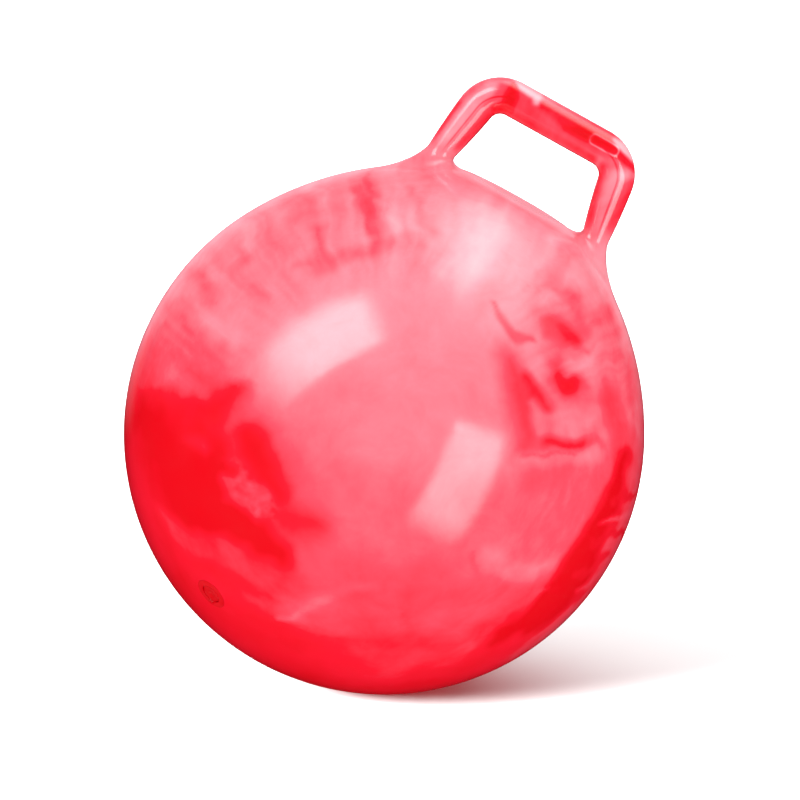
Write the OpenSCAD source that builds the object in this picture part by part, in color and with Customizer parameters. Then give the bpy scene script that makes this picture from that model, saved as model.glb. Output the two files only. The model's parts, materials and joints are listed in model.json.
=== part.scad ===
// Hopper ball: a hollow moulded ball with a loop handle, resting on the floor with its handle leaning.
// The ball, the legs and the grip are regions of one soft moulding; the valve seat is bonded into its wall
// and the valve plug pulls out of the seat.
// Lengths are in millimetres. The origin is on the floor, under the centre of the ball.

/* [Ball] */
// Diameter of the inflated ball
ball_d = 450; // [380:1:650]
// Thickness of the ball's wall
ball_wall = 1.3; // [0.8:0.1:3]
// Radius of the flat that the ball's weight presses against the floor
floor_patch_r = 26; // [15:1:40]
// Lean of the handle's axis from upright, as the ball rests
lean = 29; // [0:1:45]

/* [Shoulder] */
// Height of the flat crown, between the feet of the handle, above the round of the ball
crown_rise = 8.9; // [5:0.1:14]
// How much larger the arc of the shoulder is than the radius of the ball
shoulder_swell = 56; // [44:1:80]
// Angle from the handle's axis at which the shoulder leaves the round of the ball
shoulder_angle = 61; // [50:1:70]
// Radius that rounds the edge of the crown
crown_round = 60; // [40:1:75]

/* [Handle] */
// Distance between the centrelines of the two legs, at the height of the crown
foot_span = 153.6; // [130:0.2:180]
// Diameter of a leg above its foot
foot_d = 23.6; // [18:0.2:28]
// Diameter of the grip
grip_d = 31.6; // [24:0.2:36]
// Height of the grip's centreline above the crown
grip_rise = 73.4; // [60:0.2:95]
// Radius of the centreline in each bend
bend_r = 25.8; // [20:0.2:34]
// Inward lean of each leg
leg_lean = 9.6; // [0:0.2:14]
// Thickness of the handle's wall
handle_wall = 2; // [1.2:0.1:3.5]
// Width of the flare on the outer side of a foot
flare_out_w = 24; // [10:0.5:30]
// Height of the flare on the outer side of a foot
flare_out_h = 22; // [10:0.5:30]
// Width of the flare on the inner side of a foot
flare_in_w = 16; // [4:0.5:20]
// Height of the flare on the inner side of a foot
flare_in_h = 9.5; // [3:0.5:14]

/* [Valve seat] */
// Angle of the valve from the pole that faces away from the handle
valve_tilt = 40; // [25:1:60]
// Direction of the valve about the handle's axis, from the right leg
valve_turn = 241; // [200:1:340]
// Diameter of the collar that shows in the skin
collar_d = 29; // [24:0.5:36]
// Diameter of the flange bonded behind the skin
flange_d = 40; // [37:0.5:48]
// Thickness of the flange at its rim
flange_t = 1.4; // [0.8:0.1:2.5]
// Outer diameter of the socket
socket_d = 14; // [11:0.5:17]
// Depth of the socket below the skin
socket_depth = 19; // [16:0.5:26]
// Bore of the socket
bore_d = 8; // [5:0.1:9]
// Diameter of the recess that takes the head of the plug
recess_d = 18; // [15:0.5:21]
// Depth of that recess
recess_depth = 2; // [1.5:0.1:2.8]
// Radius of the notch that lets a fingernail under the plug
notch_r = 3; // [2:0.1:3.5]

/* [Valve plug] */
// Gap between the head of the plug and its recess
head_gap = 0.3; // [0.1:0.05:0.6]
// Thickness of the head
head_t = 1.7; // [1:0.1:2.5]
// Depth of the dish in the head
dish_depth = 0.6; // [0.2:0.1:0.8]
// Radial gap between the stem and the bore
stem_gap = 0.05; // [0.02:0.01:0.1]
// Length of the stem below the head
stem_l = 15.5; // [10:0.5:22]
// Length of the stem's tapered tip
tip_l = 4; // [2:0.5:7]
// Diameter at the end of the tip
tip_d = 5; // [3:0.1:6]

/* [Hidden] */

$fn = 128;
overrun = 5; // how far a cutting shape runs past what it cuts
skin_colour = "#f2334a";
handle_colour = "#e8203a";
seat_colour = "#b3001b";
plug_colour = "#d4142c";

ball_r = ball_d / 2;
grip_r = grip_d / 2;
foot_r = foot_d / 2;
rest_h = sqrt(ball_r * ball_r - floor_patch_r * floor_patch_r);

// Centres of the arcs that make the shoulder, as [distance from the handle's axis, height].
// The shoulder's arc touches the ball's circle from outside, and the crown's arc touches the shoulder's
// from inside, so the outline has no corner.
crown_z = ball_r + crown_rise;
shoulder_r = ball_r + shoulder_swell;
shoulder_c = [-shoulder_swell * sin(shoulder_angle), -shoulder_swell * cos(shoulder_angle)];
round_reach = shoulder_r - crown_round;
round_up = crown_z - crown_round - shoulder_c[1];
round_c = [shoulder_c[0] + sqrt(round_reach * round_reach - round_up * round_up), crown_z - crown_round];
round_dir = (round_c - shoulder_c) / round_reach;
leave_dir = [sin(shoulder_angle), cos(shoulder_angle)];
outside = 2 * ball_d; // a reach that lies beyond every part of the ball

// Where the right leg's centreline leaves the crown, and the bend that it runs into
leg_foot = [foot_span / 2, 0, crown_z];
leg_dir = [-sin(leg_lean), 0, cos(leg_lean)];
leg_out = [cos(leg_lean), 0, sin(leg_lean)];
leg_len = (grip_rise - bend_r + bend_r * sin(leg_lean)) / cos(leg_lean);
bend_c = leg_foot + leg_len * leg_dir - bend_r * leg_out;
foot_bore_r = foot_r - handle_wall;

// How far the air port of a leg is cut down: past the inside of the ball's wall where that is lowest, which
// is on the port's outer side
port_edge = foot_span / 2 + foot_d;
port_depth = crown_z - surface_z(port_edge) + ball_wall + overrun;

// Sides and rings of the leg's skin
leg_sides = 40;
flare_rings = 9;
taper_rings = 6;
taper_power = 1.5; // above 1, so that the leg's radius stops changing as it reaches the bend
foot_lip = 0.25; // height of the thin edge where the flare ends on the ball
foot_steps = 10; // steps in which a point of the flare closes in on its height above the ball
skirt = foot_r; // how far the skin runs down into the ball before it is cut by the ball's outline
side_turns = [for (i = [0:leg_sides - 1]) 360 * i / leg_sides];

// Height of the ball's surface at a distance from the handle's axis, from the crown out to the shoulder
function arc_z(centre, r, q) = centre[1] + sqrt(pow(r, 2) - pow(q - centre[0], 2));
function surface_z(q) =
    q < round_c[0] ? crown_z :
    q < round_c[0] + crown_round * round_dir[0] ? arc_z(round_c, crown_round, q) :
    arc_z(shoulder_c, shoulder_r, q);

// Radius of a leg at a distance up from the crown: it widens to the grip, and meets the bend without a corner
function leg_r(s) = grip_r - (grip_r - foot_r) * pow(1 - min(max(s / leg_len, 0), 1), taper_power);

// A value that changes from the outer side of a foot to its inner side
function around(outer, inner, turn) = (outer + inner) / 2 + (outer - inner) / 2 * cos(turn);

// A point off the leg's centreline, and its height above the ball's surface
function leg_point(s, r, turn) = leg_foot + s * leg_dir + r * (cos(turn) * leg_out + sin(turn) * [0, 1, 0]);
function clearance(p) = p[2] - surface_z(norm([p[0], p[1]]));

// How far up the leg a point lies whose height above the ball is given
function leg_s(height, spread, turn, s = 0, steps = foot_steps) =
    steps == 0 ? s :
    leg_s(height, spread, turn,
          s - (clearance(leg_point(s, leg_r(s) + spread, turn)) - height) / cos(leg_lean), steps - 1);

// A ring of the flare: a quarter of an oval, from flat on the ball at 0 degrees to along the leg at 90
function flare_spread(rise, turn) = around(flare_out_w, flare_in_w, turn) * (1 - sin(rise));
function flare_height(rise, turn) = foot_lip + around(flare_out_h, flare_in_h, turn) * (1 - cos(rise));
function flare_s(rise, turn) = leg_s(flare_height(rise, turn), flare_spread(rise, turn), turn);
function flare_point(rise, turn) =
    let (s = flare_s(rise, turn))
    leg_point(s, leg_r(s) + flare_spread(rise, turn), turn);

// A ring above the flare, at a share of the way from the flare's top to the bend
function taper_point(share, turn) =
    let (s = flare_s(90, turn) * (1 - share) + leg_len * share)
    leg_point(s, leg_r(s), turn);

// Puts a shape from the handle's own upright frame into its resting place
module resting() {
    translate([0, 0, rest_h])
        rotate([0, lean, 0])
            children();
}

// Keeps what lies above a height
module above(height) {
    intersection() {
        children();
        translate([-outside / 2, -outside / 2, height])
            cube(outside);
    }
}

// The ball's outline, drawn in from the skin by an inset. The ball's circle and the crown's lie inside the
// shoulder's and touch it, so only the shoulder's is cut, along the lines from their centres to where they
// touch, and every two pieces overlap.
module ball_outline(inset) {
    circle(ball_r - inset);
    intersection() {
        translate(shoulder_c)
            circle(shoulder_r - inset);
        polygon([[0, 0], outside * leave_dir, round_c + outside * round_dir, round_c]);
    }
    translate(round_c)
        circle(crown_round - inset);
    square([round_c[0], crown_z - inset]);
}

module ball_solid(inset) {
    rotate_extrude($fn = 180)
        intersection() {
            ball_outline(inset);
            translate([0, -outside])
                square(2 * outside);
        }
}

// The air way up a leg, from inside the ball to past the bend's face
module leg_bore() {
    translate(leg_foot)
        rotate([0, -leg_lean, 0]) {
            translate([0, 0, -port_depth])
                cylinder(h = port_depth, r = foot_bore_r);
            cylinder(h = leg_len, r1 = foot_bore_r, r2 = grip_r - handle_wall);
            translate([0, 0, leg_len])
                cylinder(h = overrun, r = grip_r - handle_wall);
        }
}

// The outer skin of the right leg: rings joined into one closed form, with a skirt that runs into the ball
module leg_skin() {
    rings = concat(
        [[for (turn = side_turns) flare_point(0, turn) - skirt * leg_dir]],
        [for (i = [0:flare_rings]) [for (turn = side_turns) flare_point(90 * i / flare_rings, turn)]],
        [for (i = [1:taper_rings]) [for (turn = side_turns) taper_point(i / taper_rings, turn)]]);
    last = len(rings) - 1;
    centres = [leg_foot - skirt * leg_dir, leg_foot + leg_len * leg_dir];
    points = concat([for (ring = rings) each ring], centres);
    bottom = len(points) - 2;
    top = len(points) - 1;
    sides = [for (k = [0:last - 1]) for (i = [0:leg_sides - 1])
        let (a = k * leg_sides + i, b = k * leg_sides + (i + 1) % leg_sides)
        each [[a, a + leg_sides, b], [b, a + leg_sides, b + leg_sides]]];
    ends = [for (i = [0:leg_sides - 1])
        let (j = (i + 1) % leg_sides)
        each [[i, j, bottom], [last * leg_sides + j, last * leg_sides + i, top]]];
    polyhedron(points, concat(sides, ends));
}

module right_leg() {
    difference() {
        leg_skin();
        ball_solid(0);
        leg_bore();
    }
}

// The grip and its two bends as one round bar, whose ends run on by a length
module grip_bar(r, run_on) {
    for (side = [0, 1])
        mirror([side, 0, 0]) {
            translate([0, 0, bend_c[2] + bend_r])
                rotate([0, 90, 0])
                    cylinder(h = bend_c[0], r = r);
            translate(bend_c)
                rotate([90, -leg_lean, 0])
                    flat_bend(r, run_on);
        }
}

// One bend, drawn flat: it starts where it meets the leg and turns up to the grip
module flat_bend(r, run_on) {
    rotate_extrude(angle = 90 - leg_lean)
        translate([bend_r, 0])
            circle(r);
    if (run_on > 0)
        translate([bend_r, 0, 0])
            rotate([90, 0, 0])
                cylinder(h = run_on, r = r);
}

// Puts a shape at the valve, with +Z out of the ball and the origin on its skin
module at_valve() {
    resting()
        rotate([0, 180 - valve_tilt, valve_turn])
            translate([0, 0, ball_r])
                children();
}

// The round of the ball as the valve sees it, drawn in by an inset
module valve_ball(inset) {
    translate([0, 0, -ball_r])
        sphere(r = ball_r - inset, $fn = 240);
}

module ball_shell() {
    color(skin_colour)
        difference() {
            above(0)
                resting()
                    ball_solid(0);
            above(ball_wall)
                resting()
                    ball_solid(ball_wall);
            resting()
                for (side = [0, 1])
                    mirror([side, 0, 0])
                        leg_bore();
            at_valve()
                translate([0, 0, -socket_depth])
                    cylinder(h = socket_depth + overrun, d = collar_d);
        }
}

module handle_grip() {
    color(handle_colour)
        resting()
            difference() {
                grip_bar(grip_r, 0);
                grip_bar(grip_r - handle_wall, overrun);
            }
}

module handle_leg_left() {
    color(handle_colour)
        resting()
            mirror([1, 0, 0])
                right_leg();
}

module handle_leg_right() {
    color(handle_colour)
        resting()
            right_leg();
}

// The seat: a collar flush with the skin, a flange behind the skin and a socket into the ball
module valve_seat() {
    flange_sag = ball_r - sqrt(pow(ball_r, 2) - pow(flange_d / 2, 2));
    flange_z = -ball_wall - flange_sag - flange_t;
    color(seat_colour)
        at_valve()
            difference() {
                union() {
                    intersection() {
                        translate([0, 0, flange_z])
                            cylinder(h = -flange_z + overrun, d = collar_d);
                        valve_ball(0);
                    }
                    intersection() {
                        translate([0, 0, flange_z])
                            cylinder(h = -flange_z, d = flange_d);
                        valve_ball(ball_wall);
                    }
                    translate([0, 0, -socket_depth])
                        cylinder(h = socket_depth + flange_z, d = socket_d);
                    translate([0, 0, (flange_z - socket_depth) / 2])
                        cylinder(h = (flange_z + socket_depth) / 2, d1 = socket_d, d2 = collar_d);
                }
                translate([0, 0, -socket_depth - overrun])
                    cylinder(h = socket_depth + 2 * overrun, d = bore_d);
                translate([0, 0, -recess_depth])
                    cylinder(h = recess_depth + overrun, d = recess_d);
                translate([recess_d / 2, 0, 0])
                    sphere(r = notch_r);
            }
}

// The plug: a dished head in the recess, on a stem with a tapered tip
module valve_plug() {
    head_r = recess_d / 2 - head_gap;
    stem_r = bore_d / 2 - stem_gap;
    dish_r = (head_r * head_r / 4 + dish_depth * dish_depth) / (2 * dish_depth);
    color(plug_colour)
        at_valve()
            translate([0, 0, -recess_depth])
                difference() {
                    union() {
                        cylinder(h = head_t / 2, r = head_r);
                        translate([0, 0, head_t / 2])
                            cylinder(h = head_t / 2, r1 = head_r, r2 = head_r - head_t / 2);
                        translate([0, 0, tip_l - stem_l])
                            cylinder(h = stem_l - tip_l, r = stem_r);
                        translate([0, 0, -stem_l])
                            cylinder(h = tip_l, r1 = tip_d / 2, r2 = stem_r);
                    }
                    translate([0, 0, head_t - dish_depth + dish_r])
                        sphere(r = dish_r);
                }
}

ball_shell();
handle_grip();
handle_leg_left();
handle_leg_right();
valve_seat();
valve_plug();
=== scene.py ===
"""Looks of a hopper ball: the marbled moulding, the valve and the studio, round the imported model."""
import json
import math

import bmesh
import bpy
import numpy as np
from bpy.props import FloatProperty, FloatVectorProperty, PointerProperty
from mathutils import Matrix, Vector, noise


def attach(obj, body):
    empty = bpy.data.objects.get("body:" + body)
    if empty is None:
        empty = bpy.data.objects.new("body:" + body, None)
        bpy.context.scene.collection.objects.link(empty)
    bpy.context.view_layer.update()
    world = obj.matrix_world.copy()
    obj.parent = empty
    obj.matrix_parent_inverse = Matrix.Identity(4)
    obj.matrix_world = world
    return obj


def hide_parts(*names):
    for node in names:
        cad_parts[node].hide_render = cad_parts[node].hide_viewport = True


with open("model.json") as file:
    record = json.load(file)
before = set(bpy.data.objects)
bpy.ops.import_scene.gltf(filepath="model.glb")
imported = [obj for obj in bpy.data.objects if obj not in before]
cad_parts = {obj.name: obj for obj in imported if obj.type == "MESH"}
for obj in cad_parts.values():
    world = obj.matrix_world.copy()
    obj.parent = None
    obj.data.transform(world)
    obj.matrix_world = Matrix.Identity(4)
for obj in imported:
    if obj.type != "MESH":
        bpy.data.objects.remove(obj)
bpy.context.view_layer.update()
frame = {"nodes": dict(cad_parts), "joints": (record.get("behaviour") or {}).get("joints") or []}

bl_info = {
    "name": "Hopper ball",
    "version": (1, 0, 0),
    "blender": (4, 5, 0),
    "location": "3D View > Sidebar > Hopper ball",
    "description": "Builds the marbled moulding, the valve and the studio of a hopper ball",
    "category": "Object",
}

MM = 0.001  # lengths are in metres
TINY = 1e-9  # keeps a division from dividing by 0

# The moulding's form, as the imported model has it. R stands for a radius and C for a centre. X runs right
# and Z up along the handle's axis, both from the ball's centre.
BALL_R = 0.225
FLAT_R = 0.026  # the flat that the ball's weight presses on the floor
REST_H = math.sqrt(BALL_R**2 - FLAT_R**2)  # height of the ball's centre over the floor
LEAN = math.radians(29)
CROWN_Z = BALL_R + 8.9 * MM  # the flat crown between the feet
SHOULDER_ANGLE = math.radians(61)  # from the axis to where the shoulder begins
SHOULDER_SWELL = 56 * MM
SHOULDER_R = BALL_R + SHOULDER_SWELL
SHOULDER_C = -SHOULDER_SWELL * np.array([math.sin(SHOULDER_ANGLE), math.cos(SHOULDER_ANGLE)])
CROWN_ROUND = 60 * MM  # radius of the rounded edge between the crown and the shoulder
ROUND_REACH = SHOULDER_R - CROWN_ROUND
ROUND_UP = CROWN_Z - CROWN_ROUND - SHOULDER_C[1]
ROUND_C = np.array([SHOULDER_C[0] + math.sqrt(ROUND_REACH**2 - ROUND_UP**2), CROWN_Z - CROWN_ROUND])
ROUND_TURN = math.atan2(ROUND_C[0] - SHOULDER_C[0], ROUND_UP)
ROUND_END = ROUND_C[0] + CROWN_ROUND * math.sin(ROUND_TURN)
FOOT_X = 76.8 * MM
FOOT_R = 11.8 * MM
GRIP_R = 15.8 * MM
GRIP_Z = CROWN_Z + 73.4 * MM
BEND_R = 25.8 * MM
LEG_LEAN = math.radians(9.6)
LEG_LEN = (GRIP_Z - CROWN_Z - BEND_R + BEND_R * math.sin(LEG_LEAN)) / math.cos(LEG_LEAN)
LEG_FOOT = np.array([FOOT_X, 0, CROWN_Z])
LEG_DIR = np.array([-math.sin(LEG_LEAN), 0, math.cos(LEG_LEAN)])
LEG_OUT = np.array([math.cos(LEG_LEAN), 0, math.sin(LEG_LEAN)])
BEND_C = LEG_FOOT + LEG_LEN * LEG_DIR - BEND_R * LEG_OUT
FLARE_OUT = np.array([24, 22]) * MM  # width and height of the flare on a foot's outer side
FLARE_IN = np.array([16, 9.5]) * MM  # and on its inner side
TAPER_POWER = 1.5  # a leg thins fastest near its foot
SINK = 0.07 * MM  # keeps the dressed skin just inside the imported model's box
FAR = 1.0  # the gap past the end of a leg or a bend

# The moulded detail of the handle. A line has faded to about a third at its width from its middle.
PANEL_ENDS = (2 * MM, LEG_LEN + 4 * MM)
PANEL_DEEPENS = (6 * MM, 30 * MM)  # between these lengths up a leg
RIDGE_WIDTH = 0.7 * MM
SEAM_WIDTH = 0.7 * MM
OBLONG_X = (33 * MM, 52 * MM)
OBLONG_Z = GRIP_Z + 3.5 * MM
OBLONG_R = 4.2 * MM
OBLONG_WIDTH = 0.9 * MM

# From the handle's upright frame to its resting place
RESTING = Matrix.Translation((0, 0, REST_H)) @ Matrix.Rotation(LEAN, 4, "Y")

CENTRE = Vector((0, 0, REST_H))  # of the ball
VALVE_OUT = Vector(frame["joints"][0]["axis"]).normalized()
VALVE_AT = CENTRE + BALL_R * VALVE_OUT
COLLAR_R = 14.5 * MM  # the valve seat's collar, flush with the skin
SOCKET_DEPTH = 19 * MM


def linear(hex_colour):
    """An sRGB hex colour as linear RGBA."""
    parts = [int(hex_colour[i : i + 2], 16) / 255 for i in (1, 3, 5)]
    return [c / 12.92 if c <= 0.04045 else ((c + 0.055) / 1.055) ** 2.4 for c in parts] + [1.0]


def smooth(low, high, value):
    """0 below low, 1 above high, and an S curve between them."""
    t = np.clip((value - low) / (high - low), 0, 1)
    return t * t * (3 - 2 * t)


# The moulding's form as a function of place, in the handle's upright frame


def arc_height(away, centre, radius):
    """Height of an arc's top over places that are away from the handle's axis."""
    return centre[1] + np.sqrt(np.maximum(radius**2 - (away - centre[0]) ** 2, 0))


def ball_gap(points):
    """Distance of points outside the ball's skin, and their height over it along the handle's axis."""
    away, up = np.hypot(points[:, 0], points[:, 1]), points[:, 2]
    ball = np.hypot(away, up) - BALL_R
    shoulder = np.hypot(away - SHOULDER_C[0], up - SHOULDER_C[1]) - SHOULDER_R
    rounded = np.hypot(away - ROUND_C[0], up - ROUND_C[1]) - CROWN_ROUND
    round_turn = np.arctan2(away - SHOULDER_C[0], up - SHOULDER_C[1])
    gap = np.where(np.arctan2(away, up) < SHOULDER_ANGLE, shoulder, ball)
    gap = np.where((round_turn < ROUND_TURN) & (up > ROUND_C[1]), rounded, gap)
    gap = np.where((away < ROUND_C[0]) & (up > ROUND_C[1]), up - CROWN_Z, gap)
    top = arc_height(away, SHOULDER_C, SHOULDER_R)
    top = np.where(away < ROUND_END, arc_height(away, ROUND_C, CROWN_ROUND), top)
    top = np.where(away < ROUND_C[0], CROWN_Z, top)
    return gap, up - top


def leg_places(points):
    """Length along the nearer leg, the offsets outwards and backwards from its centreline, and the points
    with the left half folded over onto the right."""
    side = points.copy()
    side[:, 0] = np.abs(side[:, 0])
    away = side - LEG_FOOT
    return away @ LEG_DIR, away @ LEG_OUT, side[:, 1], side


def moulding_gap(points, shape):
    """Below 0 inside the moulding's skin and above 0 outside, in metres."""
    gap, height = ball_gap(points)
    along, out, deep, side = leg_places(points)
    turn_cos = out / np.maximum(np.hypot(out, deep), TINY)
    taper = np.clip(1 - along / LEG_LEN, 0, 1) ** TAPER_POWER
    leg = np.hypot(out, deep) - (GRIP_R - (GRIP_R - FOOT_R) * taper)

    # a foot flares in a quarter of an ellipse, measured from its top and from its outer edge in shares
    wide, tall = ((FLARE_OUT + FLARE_IN) / 2 + (FLARE_OUT - FLARE_IN) / 2 * turn_cos[:, None]).T
    from_top, from_edge = 1 - height / tall, 1 - leg / wide
    shares = np.maximum(np.abs(from_top) + np.abs(from_edge), TINY)
    size = (np.abs(from_top) * tall + np.abs(from_edge) * wide) / shares
    flare = (1 - np.hypot(from_top, from_edge)) * size
    foot = np.where(from_edge <= 0, gap, np.where(from_top <= 0, leg, flare))
    foot = np.where(along > LEG_LEN, FAR, foot)
    # the line of a leg runs on through the ball and comes out low down, where there is no leg
    foot = np.where(points[:, 2] < 0, gap, foot)

    bar = np.hypot(points[:, 1], points[:, 2] - GRIP_Z) - GRIP_R
    x, z = side[:, 0] - BEND_C[0], side[:, 2] - BEND_C[2]
    bend = np.hypot(np.hypot(x, z) - BEND_R, points[:, 1]) - GRIP_R
    bend = np.where(np.arctan2(z, x) > LEG_LEAN, bend, FAR)
    grip = np.where(side[:, 0] < BEND_C[0], bar, bend)
    return np.minimum(np.minimum(foot, grip), gap) + SINK - relief(points, shape)


def stadium(along, across, start, end, half_width):
    """Distance outside a round-ended strip that runs from start to end."""
    return np.hypot(along - np.clip(along, start, end), across) - half_width


def line(offset, width):
    """1 on a line, fading to 0 beside it."""
    return np.exp(-((offset / width) ** 2))


def relief(points, shape):
    """Height of the moulded detail on the handle: sunk panels, an outlined oblong and the parting ridge."""
    along, out, deep, _ = leg_places(points)
    on_handle = smooth(CROWN_Z - 20 * MM, CROWN_Z, points[:, 2])
    front_or_back = smooth(0.35, 0.6, np.abs(deep) / np.maximum(np.hypot(out, deep), TINY))
    panel = stadium(along, out, *PANEL_ENDS, shape.panel_width / 2)
    in_panel = 1 - smooth(-shape.panel_edge, shape.panel_edge, panel)
    sunk = -shape.panel_depth * in_panel * front_or_back * smooth(*PANEL_DEEPENS, along)
    outline = shape.outline_height * oblong_line(points)
    ridge = shape.ridge_height * line(points[:, 1], RIDGE_WIDTH)
    return (sunk + outline + ridge - shape.ridge_height) * on_handle


def oblong_line(points):
    """Where the oblong's outline runs on the front of the grip, near its right end: 1 on it, 0 off it."""
    outside = stadium(points[:, 0], points[:, 2] - OBLONG_Z, *OBLONG_X, OBLONG_R)
    return line(outside, OBLONG_WIDTH) * smooth(0, 6 * MM, -points[:, 1])


def seam_line(points):
    """Where a thin dark seam runs up the middle of each leg and round its bend: 1 on it, 0 off it."""
    along, aside, _, side = leg_places(points)
    round_bend = np.hypot(side[:, 0] - BEND_C[0], side[:, 2] - BEND_C[2]) - BEND_R
    off = np.where(along > LEG_LEN, round_bend, aside)
    ends = smooth(0, 8 * MM, along) * smooth(BEND_C[0] - 2 * MM, BEND_C[0] + 6 * MM, side[:, 0])
    return line(off, SEAM_WIDTH) * ends


def settle(points, shape, steps=6):
    """Moves points onto the moulding's skin, along the slope of its gap."""
    probe = 0.1 * MM
    longest_move = 3 * MM
    least_slope = 0.25  # squared; a flatter one would throw a point far off
    for _ in range(steps):
        here = moulding_gap(points, shape)
        rises = [
            moulding_gap(points + probe * axis, shape) - moulding_gap(points - probe * axis, shape)
            for axis in np.eye(3)
        ]
        slope = np.stack(rises, axis=1) / (2 * probe)
        move = here / np.maximum((slope**2).sum(1), least_slope)
        points = points - np.clip(move, -longest_move, longest_move)[:, None] * slope
    return points


# Making and finishing meshes


def coords(verts):
    """The places of verts, one to a row."""
    return np.array([v.co for v in verts], float).reshape(-1, 3)


def put(verts, points):
    """Moves verts to new places."""
    for v, p in zip(verts, points):
        v.co = p


def finished(bm, name, smooth_faces=True):
    """A new object from a bmesh, which is freed."""
    for face in bm.faces:
        face.smooth = smooth_faces
    mesh = bpy.data.meshes.new(name)
    bm.to_mesh(mesh)
    bm.free()
    obj = bpy.data.objects.new(name, mesh)
    bpy.context.scene.collection.objects.link(obj)
    return obj


def apply_modifiers(obj):
    """Gives an object the mesh that its modifiers make, in place of them."""
    bpy.context.view_layer.update()
    graph = bpy.context.evaluated_depsgraph_get()
    mesh = bpy.data.meshes.new_from_object(obj.evaluated_get(graph))
    obj.modifiers.clear()
    old, obj.data = obj.data, mesh
    bpy.data.meshes.remove(old)


def spun(bm, verts, centre, axis, angle, steps):
    """Spins a profile and returns the verts at its far end."""
    profile = verts + [e for e in bm.edges if all(v in verts for v in e.verts)]
    out = bmesh.ops.spin(
        bm, geom=profile, cent=centre, axis=axis, dvec=(0, 0, 0), angle=angle, steps=steps, use_merge=False
    )
    return [g for g in out["geom_last"] if isinstance(g, bmesh.types.BMVert)]


def run_on(bm, ring, move):
    """Extrudes a ring of verts by a move and returns the verts at its far end."""
    edges = [e for e in bm.edges if all(v in ring for v in e.verts)]
    out = bmesh.ops.extrude_edge_only(bm, edges=edges)
    verts = [g for g in out["geom"] if isinstance(g, bmesh.types.BMVert)]
    bmesh.ops.translate(bm, verts=verts, vec=Vector(move))
    return verts


def rough_ball(bm):
    """The ball and its crown, spun about the handle's axis."""
    turns = np.linspace(0, math.pi, 60)
    rays = np.stack([np.sin(turns), np.zeros(len(turns)), np.cos(turns)], axis=1)
    reach = np.full(len(turns), BALL_R)
    for _ in range(20):
        reach = reach - ball_gap(rays * reach[:, None])[0]
    profile = [bm.verts.new(p) for p in rays * reach[:, None]]
    for a, b in zip(profile, profile[1:]):
        bm.edges.new((a, b))
    geom = profile + list(bm.edges)
    bmesh.ops.spin(
        bm, geom=geom, cent=(0, 0, 0), axis=(0, 0, 1), dvec=(0, 0, 0), angle=math.tau, steps=96,
        use_merge=True,
    )
    bmesh.ops.remove_doubles(bm, verts=bm.verts, dist=0.01 * MM)


def rough_handle(bm):
    """The handle as one tube: up the right leg, round its bend, along the grip and down the left leg."""
    buried = 18 * MM  # so that each end meets the ball all round
    first = bmesh.ops.create_circle(bm, cap_ends=False, radius=(FOOT_R + GRIP_R) / 2, segments=32)["verts"]
    start = LEG_FOOT - buried * LEG_DIR
    place = Matrix.Translation(Vector(start)) @ Matrix.Rotation(-LEG_LEAN, 4, "Y")
    bmesh.ops.transform(bm, matrix=place, verts=first)
    rise = (LEG_LEN + buried) * LEG_DIR
    bend = math.pi / 2 - LEG_LEAN
    ring = run_on(bm, first, rise)
    ring = spun(bm, ring, Vector(BEND_C), (0, -1, 0), bend, 14)
    ring = run_on(bm, ring, (-2 * BEND_C[0], 0, 0))
    ring = spun(bm, ring, Vector(BEND_C * [-1, 1, 1]), (0, -1, 0), bend, 14)
    ring = run_on(bm, ring, rise * [1, 1, -1])
    for end in (first, ring):
        bmesh.ops.contextual_create(bm, geom=[e for e in bm.edges if all(v in end for v in e.verts)])


def settle_mesh(bm, shape, steps=6):
    """Moves every vert of a mesh onto the moulding's skin."""
    put(bm.verts, settle(coords(bm.verts), shape, steps))


def refine(bm, wanted):
    """Divides the faces whose middle is wanted."""
    middles = np.array([f.calc_center_median() for f in bm.faces])
    faces = [f for f, use in zip(bm.faces, wanted(middles)) if use]
    edges = {e for f in faces for e in f.edges}
    bmesh.ops.subdivide_edges(bm, edges=list(edges), cuts=1, use_grid_fill=True)


def finely_shaped(points):
    """Whether points are on the handle, the flares of its feet or the skin round the valve."""
    side = leg_places(points)[3]
    round_foot = np.hypot(side[:, 0] - FOOT_X - 6 * MM, points[:, 1]) < 38 * MM
    valve = np.array(RESTING.inverted() @ VALVE_AT)
    near_valve = np.linalg.norm(points - valve, axis=1) < 24 * MM
    on_flare = round_foot & (points[:, 2] > CROWN_Z - 40 * MM)
    return (points[:, 2] > CROWN_Z + 4 * MM) | on_flare | near_valve


# Stretches of the front whose marbling is too fine for the even mesh: from and to right of the ball's
# centre, and from and to above it, in ball radii
FINE_STRETCHES = (
    (0.35, 1.0, -0.22, 0.62),  # swirls
    (-0.66, -0.3, -0.5, 0.2),  # mottled patch
    (-0.6, 0.25, 0.6, 1.0),  # drips
    (0.28, 1.0, -0.85, -0.2),  # sickle
)


def finely_marbled(points):
    """Whether points are on one of the fine stretches."""
    resting = points @ np.array(RESTING.to_3x3()).T / BALL_R
    right, up = resting[:, 0], resting[:, 2]
    fine = np.zeros(len(points), bool)
    for start, end, foot, top in FINE_STRETCHES:
        fine |= (right > start) & (right < end) & (up > foot) & (up < top)
    return (resting[:, 1] < 0) & fine & (points[:, 2] < CROWN_Z - 40 * MM)


def finely_lined(points):
    """Whether points are beside the oblong's outline or the seam."""
    return np.maximum(oblong_line(points), seam_line(points)) > 0.02


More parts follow.
